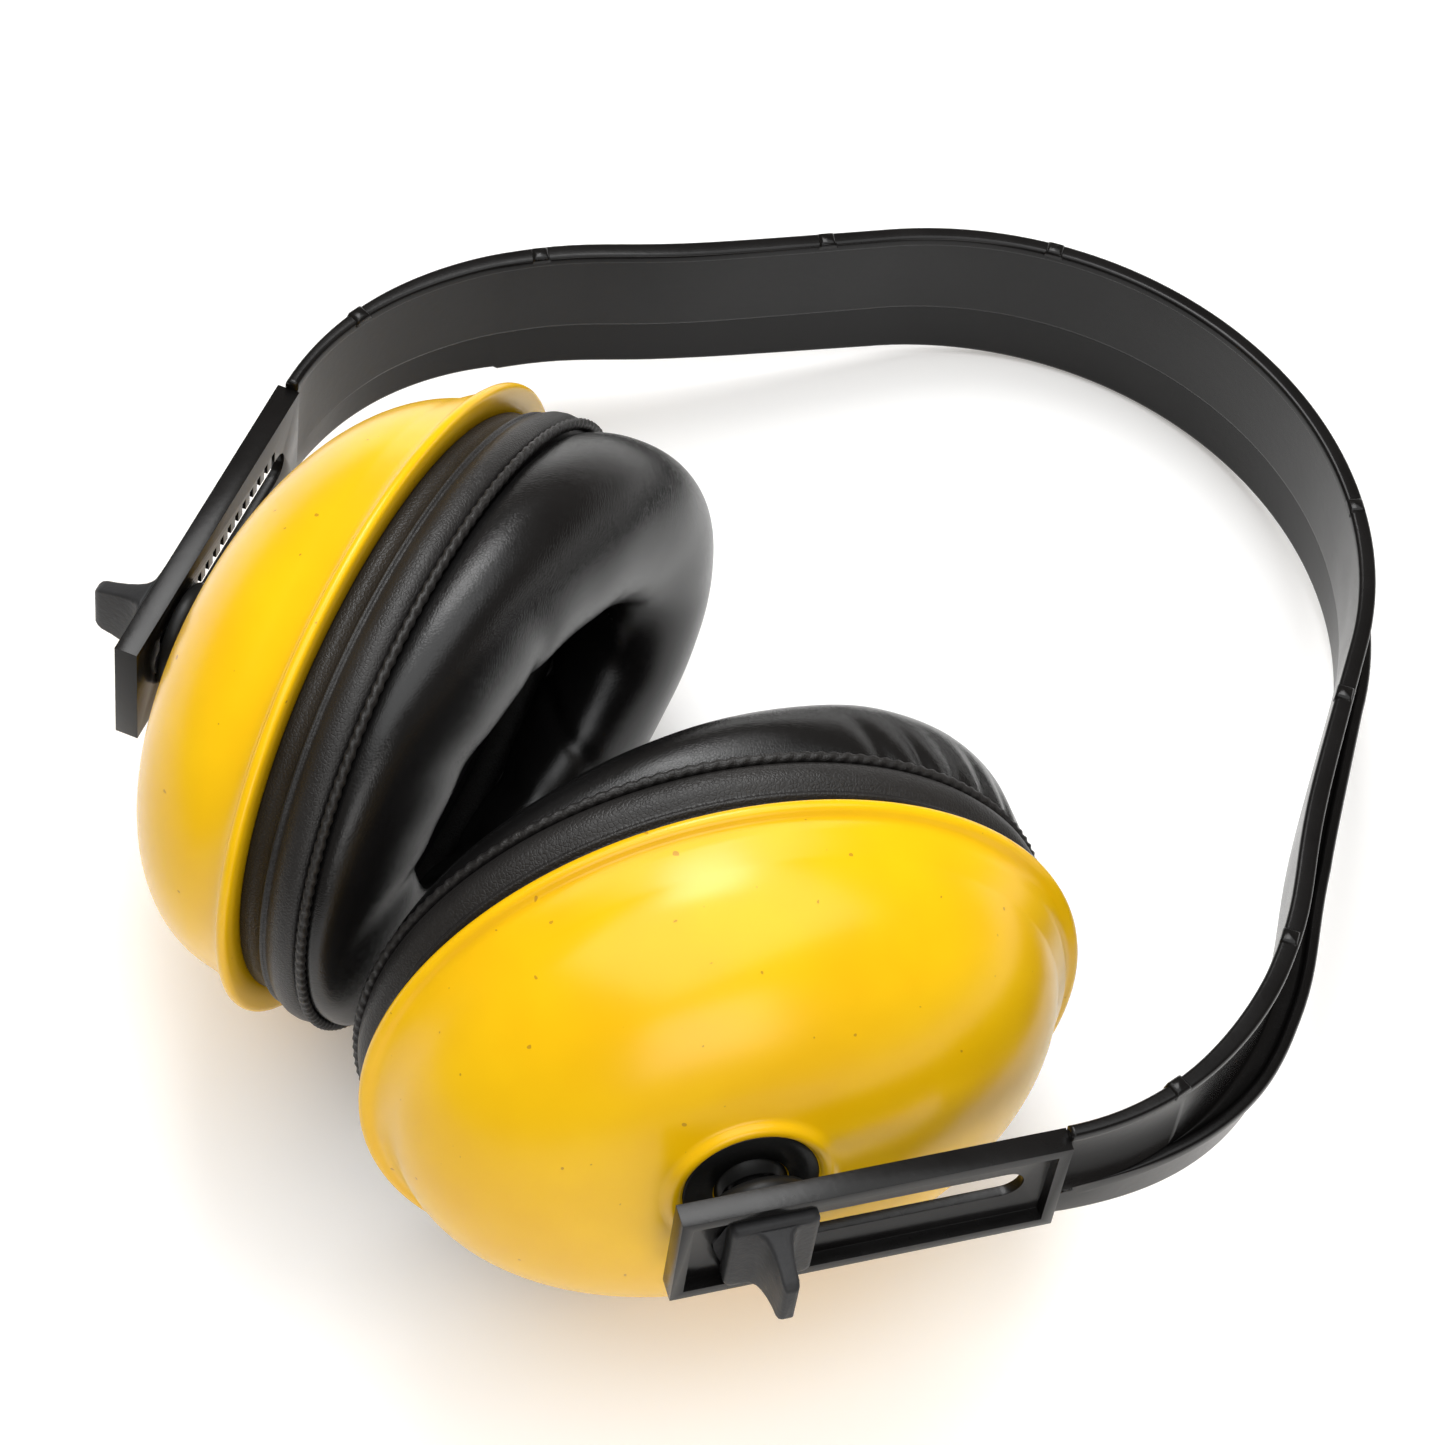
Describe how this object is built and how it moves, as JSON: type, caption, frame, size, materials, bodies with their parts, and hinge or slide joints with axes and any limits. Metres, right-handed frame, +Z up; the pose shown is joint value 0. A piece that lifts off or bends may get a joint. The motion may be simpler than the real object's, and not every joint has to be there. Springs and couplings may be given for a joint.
{
  "type": "hearing protection earmuffs",
  "caption": "Over-head ear defenders: a stepped plastic band with slotted end plates, and yellow domed cups with black cushions that slide, swivel and tilt.",
  "frame": {"origin": "middle of the underside of the bounding box, on the table that the earmuffs lie on", "axes": "+X towards the right cup, +Y from the cups to the crown of the headband, +Z up from the table"},
  "size_m": [0.1664, 0.1732, 0.0794],
  "materials": {
    "band_plastic": "satin moulded charcoal nylon",
    "cup_plastic": "glossy yellow ABS",
    "grip_plastic": "matt dark grey",
    "disc_plastic": "satin black",
    "ball_plastic": "natural white acetal",
    "inner_plastic": "satin black",
    "screw_steel": "zinc plated",
    "smooth_vinyl": "smooth semi-gloss black vinyl",
    "grained_vinyl": "fine grained black vinyl",
    "foam": "open-cell dark grey foam"
  },
  "bodies": {
    "band": {"headband": "band_plastic"},
    "left_slider": {"left_knob": "grip_plastic", "left_pivot_screw": "screw_steel"},
    "left_swivel": {"left_swivel_disc": "disc_plastic", "left_ball_stud": "ball_plastic"},
    "left_bushing": {"left_ball_bushing": "ball_plastic"},
    "left_cup": {"left_cup_shell": "cup_plastic", "left_socket_cap": "inner_plastic", "left_foam_liner": "foam", "left_snap_ring": "inner_plastic", "left_cushion_base": "grained_vinyl", "left_cushion_pad": "smooth_vinyl", "left_cushion_foam": "foam"},
    "right_slider": {"right_knob": "grip_plastic", "right_pivot_screw": "screw_steel"},
    "right_swivel": {"right_swivel_disc": "disc_plastic", "right_ball_stud": "ball_plastic"},
    "right_bushing": {"right_ball_bushing": "ball_plastic"},
    "right_cup": {"right_cup_shell": "cup_plastic", "right_socket_cap": "inner_plastic", "right_foam_liner": "foam", "right_snap_ring": "inner_plastic", "right_cushion_base": "grained_vinyl", "right_cushion_pad": "smooth_vinyl", "right_cushion_foam": "foam"}
  },
  "joints": [
    {"name": "left_height", "type": "slide", "parent": "band", "child": "left_slider", "axis": [-0.4254, 0.8802, -0.2103], "range_m": [0, 0.02]},
    {"name": "left_swivel_turn", "type": "hinge", "parent": "left_slider", "child": "left_swivel", "pos_m": [-0.05101, -0.05392, 0.03894], "axis": [-0.9013, -0.4331, 0.0102], "range_deg": [-15, 15]},
    {"name": "left_toe", "type": "hinge", "parent": "left_swivel", "child": "left_bushing", "pos_m": [-0.05101, -0.05392, 0.03894], "axis": [0.0821, -0.1939, -0.9776], "range_deg": [-2, 8]},
    {"name": "left_tilt", "type": "hinge", "parent": "left_bushing", "child": "left_cup", "pos_m": [-0.05101, -0.05392, 0.03894], "axis": [-0.3776, 0.9017, -0.2106], "range_deg": [-9, 12]},
    {"name": "right_height", "type": "slide", "parent": "band", "child": "right_slider", "axis": [0.4545, 0.8802, -0.1364], "range_m": [0, 0.02]},
    {"name": "right_swivel_turn", "type": "hinge", "parent": "right_slider", "child": "right_swivel", "pos_m": [0.04797, -0.05392, 0.04725], "axis": [0.8869, -0.4331, 0.1604], "range_deg": [-15, 15]},
    {"name": "right_toe", "type": "hinge", "parent": "right_swivel", "child": "right_bushing", "pos_m": [0.04797, -0.05392, 0.04725], "axis": [-0.1445, 0.0695, 0.9871], "range_deg": [-2, 8]},
    {"name": "right_tilt", "type": "hinge", "parent": "right_bushing", "child": "right_cup", "pos_m": [0.04797, -0.05392, 0.04725], "axis": [0.4464, 0.8948, 0.0024], "range_deg": [-2, 20]}
  ]
}
